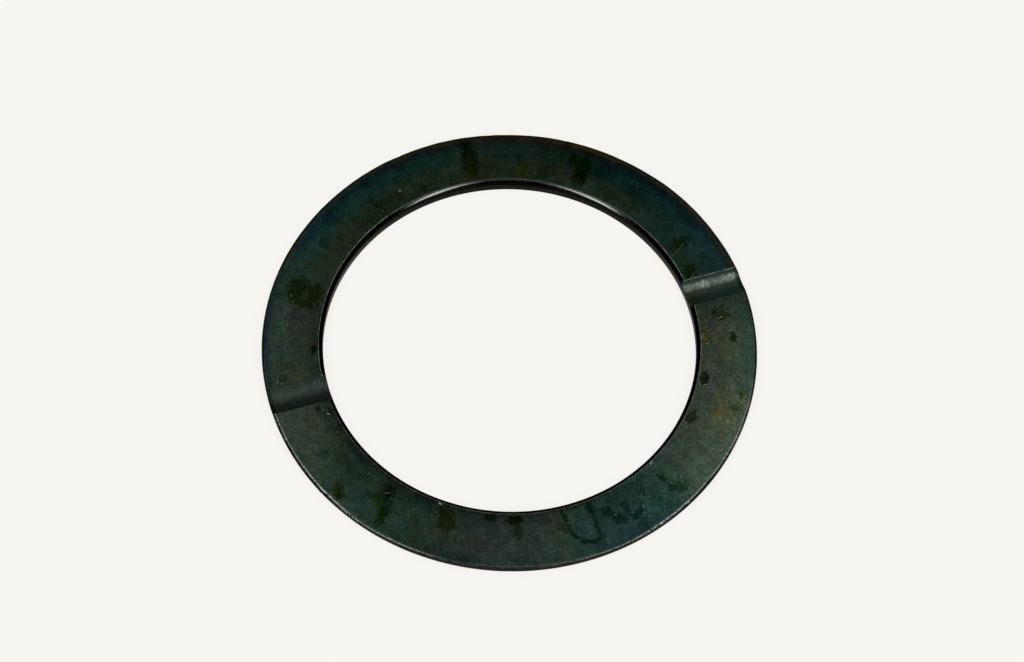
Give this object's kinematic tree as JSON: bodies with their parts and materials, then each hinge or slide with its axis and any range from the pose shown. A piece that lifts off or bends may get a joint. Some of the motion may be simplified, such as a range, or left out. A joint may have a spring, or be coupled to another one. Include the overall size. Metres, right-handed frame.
{
  "type": "thrust washer",
  "caption": "Flat steel thrust washer with a plain bore and a straight oil groove across its working face.",
  "frame": {"origin": "centre of the back face, on the axis of the bore", "axes": "+Z along the bore's axis and out of the grooved face; the oil groove lies along X"},
  "size_m": [0.095, 0.095, 0.003],
  "materials": {
    "blued_steel": "blued and oiled, worn bright along the edges"
  },
  "bodies": {
    "root": {"thrust_washer": "blued_steel"}
  },
  "joints": []
}
